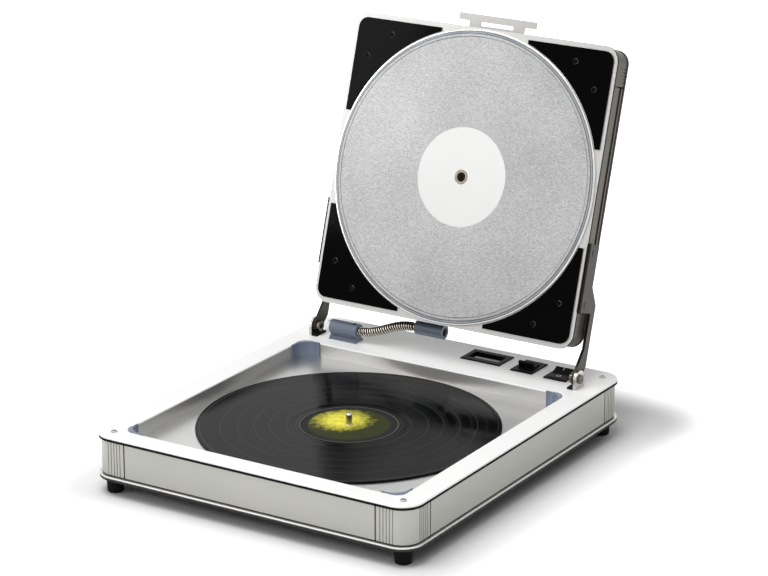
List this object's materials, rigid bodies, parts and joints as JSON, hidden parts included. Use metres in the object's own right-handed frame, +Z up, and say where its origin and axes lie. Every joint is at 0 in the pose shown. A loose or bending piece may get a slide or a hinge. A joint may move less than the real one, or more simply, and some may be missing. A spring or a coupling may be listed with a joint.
{
  "type": "record flattener",
  "caption": "Flat heated box for a 12 inch record with a hinged heated lid, corner posts, rear controls and a steel conduit between base and lid.",
  "frame": {"origin": "centre of the bounding box's bottom face with the lid open", "axes": "+X to the right seen from the front, +Y to the back where the hinge is, +Z up"},
  "size_m": [0.362, 0.4696, 0.3999],
  "materials": {
    "deck_aluminium": "satin anodised",
    "wall_aluminium": "satin anodised",
    "bright_trim": "bright",
    "black_paint": "satin",
    "black_rubber": "matte",
    "slate_plastic": "satin",
    "black_plastic": "fine grain",
    "gloss_black": "gloss",
    "mirror_plate": "polished",
    "polished_steel": "polished",
    "heater_silicone": "matte",
    "insulation_board": "matte",
    "vinyl": "pressed, gloss",
    "label_paper": "matte",
    "lens": "clear",
    "circuit_board": "satin",
    "arm_steel": "brushed",
    "platen_aluminium": "rolled, bead finish",
    "pale_silicone": "satin",
    "white_disc": "satin",
    "steel_conduit": "interlocked strip"
  },
  "bodies": {
    "base": {"base_feet": "black_rubber", "foot_studs": "polished_steel", "bottom_plate": "black_paint", "base_trim": "bright_trim", "lower_gasket": "black_rubber", "wall_front": "wall_aluminium", "wall_rear": "wall_aluminium", "wall_sides": "wall_aluminium", "base_corner_posts": "wall_aluminium", "deck_gasket": "black_rubber", "deck_plate": "deck_aluminium", "deck_screws": "polished_steel", "well_liner": "wall_aluminium", "well_corner_inserts": "slate_plastic", "lower_platen": "mirror_plate", "lower_heater_mat": "heater_silicone", "lower_insulation": "insulation_board", "platen_posts": "polished_steel", "spindle": "polished_steel", "spindle_nut": "polished_steel", "display_bezel": "black_plastic", "display_lens": "lens", "display_module": "circuit_board", "paddle_housing": "black_plastic", "rocker_housing": "black_plastic", "hinge_brackets": "bright_trim", "hinge_pads": "black_plastic", "hinge_bolts": "polished_steel", "hinge_nuts": "polished_steel", "base_conduit_clamp": "slate_plastic", "conduit": "steel_conduit", "mains_inlet": "black_plastic", "control_board": "circuit_board"},
    "record": {"record_disc": "vinyl", "record_label": "label_paper"},
    "paddle": {"mode_paddle": "black_plastic"},
    "rocker": {"power_rocker": "black_plastic"},
    "lid": {"lid_face_plate": "bright_trim", "lid_gasket": "black_rubber", "lid_end_walls": "arm_steel", "lid_side_walls": "arm_steel", "lid_corner_posts": "arm_steel", "lid_back_plate": "black_paint", "lid_corner_plates": "gloss_black", "corner_plate_screws": "black_paint", "platen_ring": "bright_trim", "lid_carrier": "deck_aluminium", "arm_right": "arm_steel", "arm_left": "arm_steel", "arm_spacers": "polished_steel", "arm_screws": "black_paint", "lid_handle": "bright_trim", "lid_conduit_clamp": "slate_plastic"},
    "floating_plate": {"upper_platen": "platen_aluminium", "silicone_band": "pale_silicone", "centre_disc": "white_disc", "spindle_eyelet": "polished_steel", "upper_heater_mat": "heater_silicone", "guide_pins": "polished_steel"}
  },
  "joints": [
    {"name": "lid_hinge", "type": "hinge", "parent": "base", "child": "lid", "pos_m": [0, 0.12446, 0.0701], "axis": [-1, 0, 0], "range_deg": [-107.35, 5], "deforming": ["conduit"]},
    {"name": "plate_float", "type": "slide", "parent": "lid", "child": "floating_plate", "axis": [0, 0.9545, -0.2982], "range_m": [0, 0.001], "stiffness_N_per_m": 4000, "springref_m": -0.004},
    {"name": "record_lift", "type": "slide", "parent": "base", "child": "record", "axis": [0, 0, 1], "range_m": [0, 0.08]},
    {"name": "power_switch", "type": "hinge", "parent": "base", "child": "rocker", "pos_m": [0.1264, 0.14576, 0.0584], "axis": [1, 0, 0], "range_deg": [-28, 0]},
    {"name": "mode_switch", "type": "hinge", "parent": "base", "child": "paddle", "pos_m": [0.08675, 0.14991, 0.0558], "axis": [1, 0, 0], "range_deg": [-50, 0]}
  ]
}
